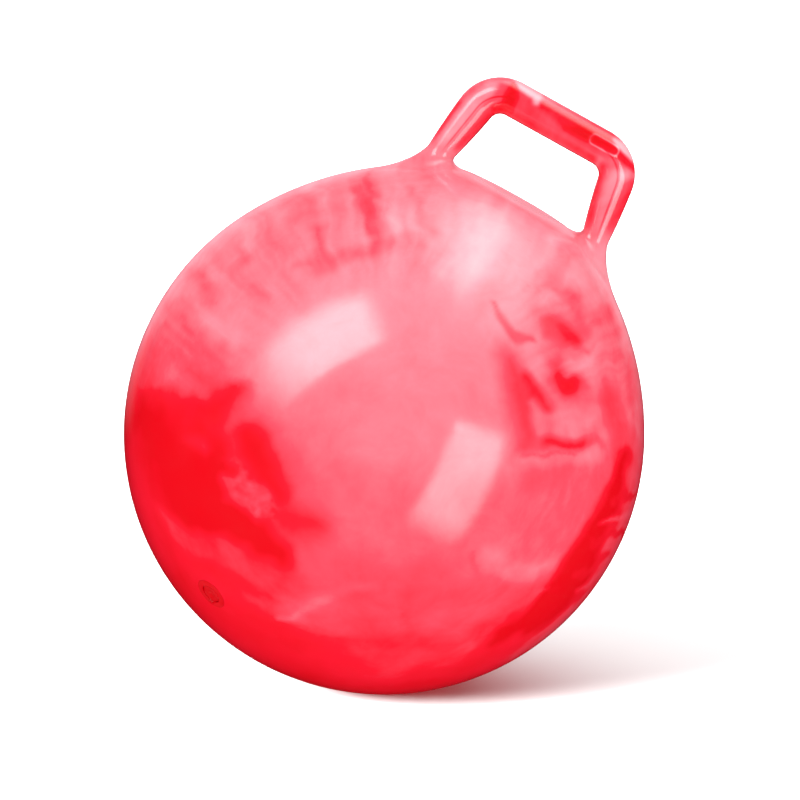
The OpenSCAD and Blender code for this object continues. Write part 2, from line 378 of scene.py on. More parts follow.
def fit_skin(bm, shape):
    """Settles the even mesh onto the moulding's form, divides it where it is fine, and lays it to rest."""
    settle_mesh(bm, shape, 12)
    bmesh.ops.smooth_vert(bm, verts=bm.verts, factor=0.5, use_axis_x=True, use_axis_y=True, use_axis_z=True)
    settle_mesh(bm, shape)
    for _ in range(2):
        refine(bm, finely_shaped)
        settle_mesh(bm, shape)
    refine(bm, finely_marbled)
    refine(bm, finely_lined)
    settle_mesh(bm, shape)
    bmesh.ops.transform(bm, matrix=RESTING, verts=bm.verts)
    points = coords(bm.verts)
    points[:, 2] = np.maximum(points[:, 2], 0)  # the floor presses the foot flat
    put(bm.verts, points)


# Marbling: bands of darker and paler PVC, laid on the front of the ball as seen square on, with some bands of
# painted highlight and painted shade among them. Each has its redness from 0, pale pink, to 1, deep red; how
# much it covers; how soft its edge is; and the points it runs through, right of and above the ball's centre,
# with its half width at each.
BAND_UNITS = 260  # of the bands' lengths, to the ball's radius
FRONT_BANDS = (
    # broad washes: pale in the middle and above it, redder towards the foot, partly the marbling's own colour
    # and partly painted shade, as the foot gets less light
    (0.37, 0.95, 70, ((-40, 110, 76), (60, 110, 80), (110, 80, 70))),
    (0.36, 0.90, 50, ((60, 200, 50), (150, 150, 50), (190, 130, 40))),
    (0.44, 0.95, 60, ((-50, 10, 40), (20, 0, 50), (80, 0, 50))),
    (0.50, 0.85, 50, ((-96, 0, 20), (-80, -40, 24), (-30, -70, 20))),
    (0.52, 0.90, 50, ((-70, -90, 30), (10, -90, 40), (110, -90, 40), (160, -70, 30))),
    (0.60, 0.90, 40, ((-80, -160, 28), (0, -170, 32), (110, -165, 30))),
    (0.77, 0.95, 36, ((-110, -225, 30), (0, -240, 34), (110, -225, 26))),
    (0.84, 0.95, 40, ((-246, -60, 20), (-220, -130, 28), (-180, -170, 30), (-110, -215, 26))),
    # a thin deep red line along the foot's rim: painted shade where the ball nears the floor
    (0.90, 0.85, 12, ((-120, -236, 3), (-20, -258, 6), (90, -246, 3))),
    # upper left, with drips over a curved lower edge
    (0.41, 0.90, 36, ((-190, 120, 40), (-130, 185, 44), (-40, 232, 40), (30, 250, 24))),
    (0.55, 0.90, 30, ((-244, 70, 20), (-215, 84, 16), (-190, 74, 14))),
    (0.59, 0.85, 20, ((-192, 72, 10), (-162, 62, 12))),
    (0.50, 0.85, 9, ((-80, 166, 2), (-62, 160, 4), (-38, 172, 5), (-8, 180, 5), (34, 184, 2))),
    (0.50, 0.80, 9, ((-66, 198, 2), (-60, 178, 4), (-58, 166, 4))),
    (0.51, 0.85, 10, ((-24, 236, 3), (-14, 212, 6), (-8, 200, 9))),
    (0.53, 0.85, 6, ((-12, 254, 2), (-6, 242, 4), (-4, 230, 1))),
    (0.33, 0.80, 20, ((6, 248, 6), (60, 232, 14), (120, 206, 12))),
    (0.47, 0.80, 8, ((26, 242, 2), (38, 218, 4), (46, 194, 2))),
    (0.46, 0.75, 8, ((-90, 234, 3), (-72, 230, 4))),
    (0.46, 0.75, 7, ((-102, 218, 1), (-92, 206, 3))),
    (0.50, 0.75, 8, ((-140, 184, 2), (-132, 172, 4))),
    (0.48, 0.75, 7, ((-124, 150, 2), (-116, 140, 4))),
    (0.48, 0.70, 6, ((-180, 160, 1), (-172, 146, 3))),
    (0.34, 0.75, 8, ((-32, 226, 3), (-28, 200, 6), (-20, 186, 5))),
    (0.34, 0.70, 8, ((-80, 200, 3), (-72, 184, 5))),
    (0.33, 0.70, 7, ((-202, 122, 1), (-170, 112, 3), (-139, 90, 2))),
    # deep red on the left, with a darker streak, a mottled patch and a lighter band along its foot
    (0.76, 0.95, 34, ((-252, 44, 18), (-250, -40, 28), (-230, -110, 26))),
    (0.70, 0.85, 40, ((-150, 0, 20), (-112, -40, 20), (-92, -84, 14))),
    (0.97, 1.00, 28, ((-232, 16, 14), (-206, 0, 26), (-184, -26, 36), (-172, -60, 32), (-152, -84, 24))),
    (0.88, 0.85, 18, ((-190, 16, 10), (-164, 24, 7), (-140, 46, 1))),
    (1.00, 1.00, 16, ((-172, -60, 24), (-150, -90, 18), (-118, -102, 13), (-100, -112, 7), (-96, -128, 1))),
    (0.64, 0.85, 10, ((-142, 16, 1), (-141, -16, 4), (-136, -34, 5))),
    (0.94, 0.90, 18, ((-130, 6, 2), (-124, -10, 7), (-114, -36, 6), (-96, -56, 2))),
    (0.93, 0.80, 9, ((-132, 2, 2), (-127, -12, 6), (-122, -26, 2))),
    (0.62, 0.95, 9, ((-152, -42, 4), (-136, -58, 14), (-118, -70, 15), (-100, -76, 5))),
    (0.78, 0.80, 24, ((-96, -76, 2), (-80, -80, 6), (-58, -84, 2))),
    (0.68, 0.80, 9, ((-184, -4, 2), (-172, -6, 5))),
    (0.65, 0.90, 10, ((-212, -76, 4), (-184, -100, 12), (-134, -120, 13), (-84, -138, 10))),
    (0.76, 0.80, 14, ((-196, -112, 3), (-160, -140, 7), (-110, -152, 4))),
    # swirls on the right
    (0.49, 0.85, 30, ((160, 120, 22), (200, 90, 30), (210, 30, 30))),
    (0.60, 0.90, 4, ((106, 125, 0.5), (118, 106, 1.6), (128, 93, 3), (142, 92, 1.5))),
    (0.50, 0.85, 7, ((146, 140, 1), (180, 140, 2.5), (193, 133, 3), (197, 124, 3), (190, 113, 2))),
    (0.38, 0.85, 8, ((158, 128, 7), (168, 124, 8))),
    (0.65, 0.90, 9, ((160, 102, 5), (172, 98, 7), (184, 92, 3))),
    (0.54, 0.80, 5, ((190, 86, 2), (195, 83, 2))),
    (0.66, 0.90, 14, ((163, 68, 2), (168, 54, 8), (178, 47, 10))),
    (0.84, 0.85, 10, ((168, 54, 1), (178, 47, 6))),
    (0.42, 0.80, 8, ((176, 56, 1), (198, 74, 3))),
    (0.44, 0.85, 16, ((170, 18, 10), (196, 16, 12))),
    (0.68, 0.90, 20, ((118, 78, 2), (130, 34, 9), (138, -3, 6))),
    (0.76, 0.85, 10, ((132, 60, 1), (144, 42, 4), (155, 26, 2))),
    (0.46, 0.85, 6, ((140, 31, 0.5), (145, 19, 2.5), (150, 2, 2.5))),
    (0.78, 0.85, 9, ((154, -6, 1), (172, -11, 4), (186, -11, 4), (200, -8, 1))),
    (0.52, 0.80, 12, ((198, -8, 2), (210, 6, 4), (214, 26, 3))),
    (0.43, 0.85, 7, ((132, -16, 2), (152, -22, 5), (198, -23, 5))),
    (0.56, 0.80, 3, ((136, -14, 0.8), (152, -18, 1.2), (182, -19, 0.8))),
    (0.56, 0.80, 16, ((142, -40, 8), (190, -42, 8))),
    (0.55, 0.85, 12, ((219, 122, 3), (227, 100, 8), (220, 70, 8), (222, 50, 7))),
    (0.65, 0.90, 12, ((222, 40, 6), (228, 4, 9), (231, -24, 9))),
    (0.56, 0.80, 10, ((246, 90, 4), (252, 20, 8))),
    # deep red sickle at the lower right, with wisps off its outer side
    (0.60, 0.90, 18, ((252, -40, 14), (228, -112, 18), (176, -184, 14))),
    (0.97, 1.00, 12, ((230, -18, 3), (224, -56, 8), (206, -100, 10), (188, -134, 12), (162, -162, 11))),
    (0.95, 1.00, 9, ((164, -162, 11), (136, -186, 7), (106, -204, 1))),
    (0.82, 0.80, 5, ((224, -62, 4), (252, -56, 1))),
    (0.82, 0.80, 5, ((206, -104, 4), (240, -94, 1))),
    (0.54, 0.80, 5, ((214, -84, 2), (246, -76, 2))),
    (0.80, 0.80, 5, ((190, -134, 4), (224, -120, 1))),
    (0.56, 0.80, 5, ((186, -150, 2), (216, -138, 2))),
    # lines and dashes over the foot
    (0.60, 0.80, 4, ((83, -111, 0.5), (94, -140, 2), (121, -157, 2), (157, -152, 0.5))),
    (0.44, 0.70, 12, ((96, -110, 3), (130, -128, 8), (164, -120, 3))),
    (0.66, 0.70, 6, ((18, -168, 1), (24, -184, 3), (32, -198, 1))),
    (0.66, 0.70, 5, ((50, -176, 1), (72, -178, 2))),
    (0.64, 0.70, 5, ((-60, -170, 1), (-40, -190, 3), (-20, -200, 1))),
    (0.50, 0.70, 7, ((-100, -176, 1), (-60, -152, 4), (-10, -146, 1))),
    (0.62, 0.70, 14, ((-30, -206, 2), (20, -212, 8), (80, -200, 2))),
)

# The same for the back, right of and above the centre as seen from behind
BACK_BANDS = (
    (0.38, 0.90, 60, ((-120, 150, 40), (0, 170, 50), (110, 120, 40))),
    (0.46, 0.90, 60, ((-40, 20, 50), (70, 0, 50))),
    (0.68, 0.90, 44, ((-226, 50, 20), (-150, 20, 36), (-70, -30, 20))),
    (0.94, 1.00, 24, ((-250, 66, 12), (-200, 44, 24), (-160, 10, 26), (-140, -34, 12))),
    (0.90, 0.90, 16, ((-150, 40, 10), (-110, 40, 12), (-74, 18, 6), (-60, -6, 1))),
    (0.84, 0.90, 14, ((-124, -30, 3), (-84, -56, 9), (-36, -62, 7), (14, -90, 1))),
    (0.58, 0.85, 10, ((-176, 34, 2), (-160, 16, 8), (-136, 8, 6), (-118, 14, 1))),
    (0.56, 0.85, 12, ((-60, -90, 2), (-10, -84, 8), (60, -110, 3))),
    (0.72, 0.85, 14, ((60, 132, 1), (100, 92, 6), (146, 76, 8), (196, 30, 2))),
    (0.36, 0.80, 14, ((90, 44, 3), (140, 6, 12), (150, -56, 10), (120, -100, 2))),
    (0.74, 0.90, 40, ((-190, -140, 22), (-60, -210, 34), (100, -206, 26))),
    (0.88, 0.85, 14, ((170, -90, 2), (140, -150, 9), (70, -196, 3))),
    (0.58, 0.80, 26, ((-140, -80, 14), (-40, -110, 22), (60, -130, 14))),
    (0.84, 0.80, 12, ((-214, 0, 1), (-222, -60, 8), (-180, -130, 3))),
    (0.36, 0.70, 7, ((-150, 110, 1), (-70, 76, 4), (10, 66, 1))),
    (0.52, 0.70, 8, ((-30, 214, 1), (-24, 180, 5), (-34, 150, 2))),
    (0.50, 0.70, 8, ((40, 210, 1), (50, 176, 5), (44, 150, 2))),
)

# The handle has the same bands on its front and its back
HANDLE_BANDS = (
    # left leg: red along both edges, painted shade where the leg turns away, and pale between them, a painted
    # highlight down its middle
    (0.54, 0.95, 10, ((40, 276, 18), (70, 312, 16), (100, 340, 14))),
    (0.74, 0.85, 5, ((38, 280, 3), (50, 298, 3), (62, 313, 2), (72, 328, 1))),
    (0.68, 0.85, 5, ((118, 322, 2), (104, 316, 3), (90, 301, 3), (72, 282, 2))),
    (0.30, 0.90, 6, ((58, 286, 3), (76, 312, 6), (93, 332, 6), (106, 344, 5))),
    (0.42, 0.85, 6, ((82, 342, 2), (104, 353, 3), (122, 355, 3))),
    # grip: pink along the top, a painted highlight from the light above; red through the middle; and red along
    # the foot, painted shade on its underside
    (0.62, 0.95, 9, ((124, 334, 10), (176, 309, 14), (230, 284, 12))),
    (0.70, 0.85, 4, ((124, 317, 3), (150, 303, 3), (180, 288, 3), (206, 273, 3))),
    (0.36, 0.90, 6, ((140, 350, 5), (190, 325, 5), (230, 304, 5))),
    (0.44, 0.85, 5, ((150, 330, 2), (164, 330, 4), (182, 318, 3), (204, 308, 1))),
    (0.78, 0.90, 6, ((152, 326, 2), (168, 317, 6), (186, 306, 7), (202, 298, 6))),
    (0.94, 0.90, 5, ((180, 302, 1), (198, 298, 5), (220, 287, 5), (228, 277, 3))),
    (0.92, 0.90, 5, ((128, 344, 1), (124, 332, 5), (120, 323, 5), (108, 321, 2))),
    # a pale patch at the top of the grip's left end: a painted highlight
    (0.14, 0.90, 5, ((130, 350, 1), (138, 344, 5), (150, 335, 5), (149, 327, 2))),
    # right leg: a pale outer corner, a painted highlight, over a red line, then red edges of painted shade and
    # a pale painted highlight between them
    (0.54, 0.95, 10, ((208, 190, 16), (222, 240, 14), (234, 264, 12))),
    (0.64, 0.85, 5, ((246, 248, 3), (236, 221, 4), (222, 186, 5))),
    (0.68, 0.85, 5, ((216, 266, 2), (208, 236, 3), (202, 206, 3))),
    (0.33, 0.90, 6, ((212, 196, 3), (220, 232, 5), (227, 256, 5), (238, 256, 3))),
    (0.18, 0.90, 5, ((228, 290, 2), (238, 283, 5), (246, 273, 3))),
    (0.84, 0.90, 4, ((230, 277, 3), (240, 269, 3), (251, 262, 2))),
)
MOTTLED_PATCH = ((-150, -20, 4), (-136, -50, 12), (-116, -68, 16), (-100, -76, 6))  # grainy, on the left


def band_cover(places, soft, points):
    """How much of a band lies on each place, from how far the place is outside the band's edge."""
    outside = np.full(len(places), np.inf)
    for (*start, start_width), (*end, end_width) in zip(points, points[1:]):
        start, run = np.array(start, float), np.subtract(end, start).astype(float)
        share = np.clip(((places - start) @ run) / (run @ run), 0, 1)
        width = start_width + share * (end_width - start_width)
        outside = np.minimum(outside, np.linalg.norm(places - start - share[:, None] * run, axis=1) - width)
    return 1 - smooth(-soft / 2, soft, outside)


def drift(points, size, reach, seed):
    """Noise vectors that fold the edges of the bands, of a size and reach in metres."""
    noise.seed_set(seed)  # unseeded, Blender offsets its noise vectors by the clock, anew in each run
    shift = Vector((seed * 17.3, seed * 5.1, seed * 9.7))  # no two seeds fold alike
    return reach * np.array([noise.noise_vector(Vector(p) / size + shift) for p in points])


def fractal(points, size, fading, gap, octaves):
    """Noise of a size at points, with finer and fainter noise over it."""
    return np.array([noise.fractal(Vector(p) / size, fading, gap, octaves) for p in points])


def camera_ways(elevation):
    """The way back to the camera and the way up its picture, when it looks down at an angle in degrees."""
    view = math.radians(elevation)
    return np.array([0, -math.cos(view), math.sin(view)]), np.array([0, math.sin(view), math.cos(view)])


def brushed(seen, front, folded):
    """Brush-like streaks over faint clouds: radial over the upper half, along the rim over the lower half
    and none in the middle."""
    turn = np.arctan2(seen[:, 1], seen[:, 0])
    polar = np.stack([np.cos(turn), np.sin(turn), np.linalg.norm(front, axis=1) / BAND_UNITS], axis=1)
    radial = fractal(polar * [9, 9, 2.2], 1, 0.8, 2.0, 4)
    along_rim = fractal(polar * [2.4, 2.4, 14], 1, 0.8, 2.0, 4)
    upper = smooth(-0.1, 0.35, np.sin(turn))
    streak = upper * radial + 0.5 * (1 - upper) * along_rim
    cloud = fractal(folded, 70 * MM, 0.9, 2.1, 4)
    near_rim = smooth(0.45, 0.75, np.linalg.norm(seen, axis=1) / BAND_UNITS)
    return near_rim * 0.1 * streak + 0.035 * cloud * (0.4 + near_rim)


def marbled(points, look):
    """Redness of the PVC at points of the resting moulding, from 0, pale pink, to 1, deep red, with painted
    highlight and painted shade mixed in on the handle and towards the foot.
    """
    centre = np.array([0, 0, REST_H])
    back, up = camera_ways(look.elevation)
    across = np.array([[1, 0, 0], up]).T * (BAND_UNITS / BALL_R)
    wild = 1 + 1.2 * smooth(0, 100 * MM, points[:, 1:2])  # the back's fewer bands are folded further
    folds = drift(points, 46 * MM, 8 * MM, 1) + drift(points, 15 * MM, 3 * MM, 2)
    folded = points + wild * folds
    seen = (folded - centre) @ across
    crisp = (points + 0.25 * folds - centre) @ across  # the handle's bands are folded less
    # past the rim, places run on outwards, so a band carries on round the ball
    towards = (folded - centre) @ back
    out = np.maximum(np.linalg.norm(seen, axis=1), TINY)
    run_on_out = 2 * np.linalg.norm(folded - centre, axis=1) * (BAND_UNITS / BALL_R) / out - 1
    front = np.where(towards >= 0, 1, run_on_out)[:, None] * seen
    behind = np.where(towards < 0, 1, run_on_out)[:, None] * seen * [-1, 1]
    upright = (points - centre) @ np.array(RESTING.to_3x3())
    on_handle = smooth(CROWN_Z + 1 * MM, CROWN_Z + 24 * MM, upright[:, 2])

    # redder towards the foot: partly the marbling's own colour, partly painted shade, as the foot gets less
    # light
    redness = 0.54 - 0.12 * np.clip(seen[:, 1] / BAND_UNITS, -1, 1)  # redder towards the foot
    for bands, places, weight in (
        (BACK_BANDS, behind, 1 - on_handle),
        (FRONT_BANDS, front, 1 - on_handle),
        (HANDLE_BANDS, crisp, on_handle),
    ):
        for value, cover, soft, path in bands:
            redness = redness + (value - redness) * cover * weight * band_cover(places, soft, path)

    grain = fractal(points, 7 * MM, 0.8, 2.0, 2)
    mottled = band_cover(front, 8, MOTTLED_PATCH)
    redness = redness + brushed(seen, front, folded) + 0.08 * grain * mottled
    # the crown is a little redder between the feet
    near_axis = 1 - smooth(16 * MM, 56 * MM, np.hypot(upright[:, 0], upright[:, 1]))
    on_crown = smooth(CROWN_Z - 4 * MM, CROWN_Z - 1 * MM, upright[:, 2]) * near_axis * (1 - on_handle)
    redness = redness + 0.14 * on_crown
    # a darker seam, and paler along the oblong's raised outline: a painted highlight on the outline
    return redness + (0.2 * seam_line(upright) - 0.34 * oblong_line(upright)) * on_handle


# Materials


def node(tree, kind, settings=(), links=()):
    """Adds a node, sets its properties and input values, and links its inputs."""
    made = tree.nodes.new(kind)
    for name, value in dict(settings).items():
        if isinstance(name, str) and hasattr(made, name):
            setattr(made, name, value)
        else:
            made.inputs[name].default_value = value
    for name, source in dict(links).items():
        tree.links.new(source, made.inputs[name])
    return made


def new_material(name):
    """A material without nodes yet, and the tree for them."""
    material = bpy.data.materials.new(name)
    material.use_nodes = True
    tree = material.node_tree
    tree.nodes.clear()
    return material, tree


def lay_stops(ramp, stops):
    """Lays pairs of place and colour along a colour ramp."""
    while len(ramp.elements) < len(stops):
        ramp.elements.new(1.0)
    for element, (place, colour) in zip(ramp.elements, stops):
        element.position = place
        element.color = colour


# Sizes of the largest grains in each pattern, and how far the folds move the threads
FOLD_SIZE = 62.5 * MM
FOLD_REACH = 50 * MM
THREAD_SIZE = 29.41 * MM
UNEVEN_SIZE = 11.11 * MM
SCUFF_SIZE = 6.25 * MM
GRAIN_SIZE = 0.6667 * MM  # a real mould's grain is finer and would not show


def marbled_pvc(look):
    """Soft PVC, rotationally moulded and marbled: a wet-looking gloss over colour that runs into depth."""
    material, tree = new_material("marbled_pvc_with_painted_light")
    place = node(tree, "ShaderNodeTexCoord").outputs["Object"]
    # the redness holds the marbling together with its painted highlight and painted shade
    field = node(tree, "ShaderNodeAttribute", {"attribute_name": "redness"}).outputs["Fac"]
    # faint threads of pigment, drawn out by folding, are laid over the marbling's redness
    fold = node(tree, "ShaderNodeTexNoise", {"Scale": 1 / FOLD_SIZE, "Detail": 2.0}, {"Vector": place})
    spread = node(
        tree, "ShaderNodeVectorMath", {"operation": "MULTIPLY_ADD", 1: (FOLD_REACH, FOLD_REACH, FOLD_REACH)},
        {0: fold.outputs["Color"], 2: place},
    )
    threads = node(
        tree, "ShaderNodeTexNoise", {"Scale": 1 / THREAD_SIZE, "Detail": 6.0, "Roughness": 0.6},
        {"Vector": spread.outputs[0]},
    )
    faint = node(
        tree, "ShaderNodeMapRange", {"From Min": 0.3, "From Max": 0.7, "To Min": -0.03, "To Max": 0.03},
        {"Value": threads.outputs["Fac"]},
    )
    total = node(tree, "ShaderNodeMath", {"operation": "ADD"}, {0: field, 1: faint.outputs[0]})
    colour = node(tree, "ShaderNodeValToRGB", {}, {"Fac": total.outputs[0]})
    lay_stops(
        colour.color_ramp,
        ((0.1, look.palest), (0.35, look.pale), (0.55, look.coral), (0.72, look.red), (0.95, look.deep)),
    )
    # the blown-up skin is very slightly uneven
    uneven = node(tree, "ShaderNodeTexNoise", {"Scale": 1 / UNEVEN_SIZE, "Detail": 3.0}, {"Vector": place})
    bump = node(
        tree, "ShaderNodeBump", {"Strength": 0.12, "Distance": 0.4 * MM}, {"Height": uneven.outputs["Fac"]}
    )
    gloss = node(
        tree, "ShaderNodeMapRange", {"From Min": 0.3, "From Max": 0.7, "To Min": 0.10, "To Max": 0.15},
        {"Value": threads.outputs["Fac"]},
    )
    # a specular level of 1 reflects twice what the IOR gives, for the gloss that looks wet
    shader = node(
        tree,
        "ShaderNodeBsdfPrincipled",
        {
            "IOR": 1.53, "Specular IOR Level": 1.0, "Subsurface Weight": 0.12,
            "Subsurface Radius": (6 * MM, 2 * MM, 2 * MM), "Subsurface Scale": 1.0,
        },
        {"Base Color": colour.outputs["Color"], "Roughness": gloss.outputs[0], "Normal": bump.outputs[0]},
    )
    node(tree, "ShaderNodeOutputMaterial", {}, {"Surface": shader.outputs[0]})
    return material


def valve_pvc(name, colour, scuffed):
    """Stiffer PVC, injection moulded: one colour with a satin skin, scuffed a little paler in patches."""
    material, tree = new_material(name)
    place = node(tree, "ShaderNodeTexCoord").outputs["Object"]
    scuffs = node(tree, "ShaderNodeTexNoise", {"Scale": 1 / SCUFF_SIZE, "Detail": 4.0}, {"Vector": place})
    tint = node(tree, "ShaderNodeValToRGB", {}, {"Fac": scuffs.outputs["Fac"]})
    lay_stops(tint.color_ramp, ((0.35, colour), (0.75, scuffed)))
    grain = node(tree, "ShaderNodeTexNoise", {"Scale": 1 / GRAIN_SIZE, "Detail": 2.0}, {"Vector": place})
    bump = node(
        tree, "ShaderNodeBump", {"Strength": 0.15, "Distance": 0.1 * MM}, {"Height": grain.outputs["Fac"]}
    )
    rough = node(
        tree, "ShaderNodeMapRange", {"From Min": 0.3, "From Max": 0.7, "To Min": 0.16, "To Max": 0.24},
        {"Value": scuffs.outputs["Fac"]},
    )
    shader = node(
        tree, "ShaderNodeBsdfPrincipled", {"IOR": 1.46},
        {"Base Color": tint.outputs["Color"], "Roughness": rough.outputs[0], "Normal": bump.outputs[0]},
    )
    node(tree, "ShaderNodeOutputMaterial", {}, {"Surface": shader.outputs[0]})
    return material


def matt_floor_paint():
    """Matt grey paint on the studio's floor, rolled on: it scatters light and reflects nothing."""
    material, tree = new_material("matt_floor_paint")
    shader = node(
        tree, "ShaderNodeBsdfPrincipled",
        {"Base Color": linear("#ACACAC"), "Roughness": 0.9, "Specular IOR Level": 0.0},
    )
    node(tree, "ShaderNodeOutputMaterial", {}, {"Surface": shader.outputs[0]})
    return material


# Each softbox: its name, brightness and size in metres; where it shows on the ball's front, right of and
# above the centre in ball radii; its spin in degrees; and the shares of it over which its edges fade.
SOFTBOXES = (
    ("softbox_left", 3.7, (1.05, 2.1), (-0.27, 0.345), -36, (0.35, 0.1, 0.5, 0.2)),
    ("softbox_right", 3.2, (0.92, 1.75), (0.285, -0.19), -24, (0.15, 0.2, 0.3, 0.1)),
    ("softbox_top", 2.3, (2.6, 1.9), (0.36, 0.61), 28, (0.5, 0.45, 0.5, 0.4)),
)
PICTURE_WIDTH = 800  # in pixels
AIM_RIGHT, AIM_UP = 15.8, 34  # pixels from the ball's centre to the middle of the picture
FLOOR_REACH = 40  # from the floor's middle to its edges


# Settings


class MouldingSettings(bpy.types.PropertyGroup):
    """Sizes of the moulded detail."""

    mesh_size: FloatProperty(
        name="Mesh size", description="Size of the skin's faces on the ball", default=5.1 * MM, unit="LENGTH"
    )
    panel_width: FloatProperty(
        name="Panel width", description="Width of the sunk panel on a leg", default=10.5 * MM, unit="LENGTH"
    )
    panel_depth: FloatProperty(
        name="Panel depth", description="Depth of that panel", default=0.22 * MM, unit="LENGTH"
    )
    panel_edge: FloatProperty(
        name="Panel edge", description="Half the width of the panel's slope", default=1.5 * MM, unit="LENGTH"
    )
    outline_height: FloatProperty(
        name="Outline height", description="Height of the oblong outline on the grip", default=0.4 * MM,
        unit="LENGTH",
    )
    ridge_height: FloatProperty(
        name="Ridge height", description="Height of the ridge where the mould parts", default=0.25 * MM,
        unit="LENGTH",
    )


class LookSettings(bpy.types.PropertyGroup):
    """Colours of the marbled PVC, and the angle that it is seen from."""

    palest: FloatVectorProperty(
        name="Palest", description="Palest pink of the marbling", size=4, subtype="COLOR",
        default=linear("#FFC4CC"),
    )
    pale: FloatVectorProperty(
        name="Pale", description="Pale pink of the marbling", size=4, subtype="COLOR",
        default=linear("#FF8E9C"),
    )
    coral: FloatVectorProperty(
        name="Coral", description="Middle pink of the marbling", size=4, subtype="COLOR",
        default=linear("#FF5064"),
    )
    red: FloatVectorProperty(
        name="Red", description="Bright red of the marbling", size=4, subtype="COLOR",
        default=linear("#FF142E"),
    )
    deep: FloatVectorProperty(
        name="Deep red", description="Deepest red of the marbling", size=4, subtype="COLOR",
        default=linear("#EC0014"),
    )
    elevation: FloatProperty(
        name="Elevation", description="Angle the camera looks down at, in degrees", default=8.0
    )


class ValveSettings(bpy.types.PropertyGroup):
    """Colours of the valve seat and its plug."""

    seat: FloatVectorProperty(
        name="Seat", description="Colour of the valve seat", size=4, subtype="COLOR",
        default=linear("#DC0010"),
    )
    seat_scuffed: FloatVectorProperty(
        name="Seat scuffed", description="Colour of the seat's scuffs", size=4, subtype="COLOR",
        default=linear("#E20618"),
    )
    plug: FloatVectorProperty(
        name="Plug", description="Colour of the plug", size=4, subtype="COLOR", default=linear("#D4000E")
    )
    plug_scuffed: FloatVectorProperty(
        name="Plug scuffed", description="Colour of the plug's scuffs", size=4, subtype="COLOR",
        default=linear("#DC0414"),
    )


class StudioSettings(bpy.types.PropertyGroup):
    """Camera and lights."""

    distance: FloatProperty(
        name="Distance", description="From the camera to the ball's centre", default=3.4, unit="LENGTH"
    )
    frame_width: FloatProperty(
        name="Frame width", description="Width of the picture at the ball's centre", default=0.6923,
        unit="LENGTH",
    )
    overhead: FloatProperty(
        name="Overhead", description="Strength of the room's light from above", default=1.35
    )
    underfoot: FloatProperty(
        name="Underfoot", description="Strength of the room's light from below", default=1.2
    )
    reflected: FloatProperty(
        name="Reflected", description="Strength of the room's front, as the skin reflects it", default=0.01
    )
    rim: FloatProperty(
        name="Rim", description="Strength of the room's upper back, as the rim reflects it", default=0.95
    )
    softbox_away: FloatProperty(
        name="Softbox distance", description="From the ball's skin to a softbox", default=1.6, unit="LENGTH"
    )
    key_strength: FloatProperty(
        name="Key strength", description="Strength of the floor's key light", default=36.0
    )
    key_softness: FloatProperty(
        name="Key softness", description="Angle that the key light fills", default=math.radians(26),
        subtype="ANGLE",
    )
    key_from: FloatVectorProperty(
        name="Key from", description="The way to the key light", default=(-1.0, -0.8, 0.44), subtype="XYZ"
    )
    fill_strength: FloatProperty(
        name="Fill strength", description="Strength of the floor's fill light", default=4.35
    )
    fill_softness: FloatProperty(
        name="Fill softness", description="Angle that the fill light fills", default=math.radians(90),
        subtype="ANGLE",
    )
    fill_from: FloatVectorProperty(
        name="Fill from", description="The way to the fill light", default=(0.3, 0.1, 1.0), subtype="XYZ"
    )


# Operators


class BuildMoulding(bpy.types.Operator):
    """Build the marbled skin of the ball and its handle as one piece"""

    bl_idname = "object.hopper_moulding"
    bl_label = "Moulding"

    def execute(self, context):
        shape, look = context.scene.hopper_moulding, context.scene.hopper_look
        bm = bmesh.new()
        rough_ball(bm)
        rough_handle(bm)
        bmesh.ops.recalc_face_normals(bm, faces=bm.faces)
        obj = finished(bm, "marbled_moulding")
        remesh = obj.modifiers.new("even", "REMESH")
        remesh.mode = "VOXEL"
        remesh.voxel_size = shape.mesh_size
        apply_modifiers(obj)

        bm = bmesh.new()
        bm.from_mesh(obj.data)
        fit_skin(bm, shape)
        bm.to_mesh(obj.data)
        bm.free()
        self.cut_valve_hole(obj)
        for face in obj.data.polygons:
            face.use_smooth = True
        obj.data.set_sharp_from_angle(angle=math.radians(50))

        redness = obj.data.attributes.new("redness", "FLOAT", "POINT")
        redness.data.foreach_set("value", marbled(coords(obj.data.vertices), look).astype(np.float32))
        obj.data.materials.clear()
        obj.data.materials.append(marbled_pvc(look))
        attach(obj, "ball")
        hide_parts("ball_shell", "handle_grip", "handle_leg_left", "handle_leg_right")
        return {"FINISHED"}

    def cut_valve_hole(self, obj):
        """Cuts a round hole with a floor, deeper than the valve seat that stands in it."""
        radius = COLLAR_R + 0.1 * MM
        inside, outside = SOCKET_DEPTH + 6 * MM, 4 * MM  # how far the cutter reaches each way from the skin
        bm = bmesh.new()
        bmesh.ops.create_cone(
            bm, cap_ends=True, segments=96, radius1=radius, radius2=radius, depth=inside + outside
        )
        turn = VALVE_OUT.to_track_quat("Z", "Y").to_matrix().to_4x4()
        place = Matrix.Translation(VALVE_AT - (inside - outside) / 2 * VALVE_OUT) @ turn
        bmesh.ops.transform(bm, matrix=place, verts=bm.verts)
        cutter = finished(bm, "valve_hole", False)
        hole = obj.modifiers.new("valve_hole", "BOOLEAN")
        hole.object = cutter
        hole.solver = "EXACT"
        apply_modifiers(obj)
        bpy.data.objects.remove(cutter)


class DressValve(bpy.types.Operator):
    """Give the valve seat and its plug their moulded PVC"""

    bl_idname = "object.hopper_valve"
    bl_label = "Valve"

    def execute(self, context):
        valve = context.scene.hopper_valve
        for name, colour, scuffed in (
            ("valve_seat", valve.seat, valve.seat_scuffed),
            ("valve_plug", valve.plug, valve.plug_scuffed),
        ):
            material = valve_pvc(name + "_moulded_pvc", colour, scuffed)
            for place in frame["nodes"][name].material_slots:
                place.material = material
        return {"FINISHED"}


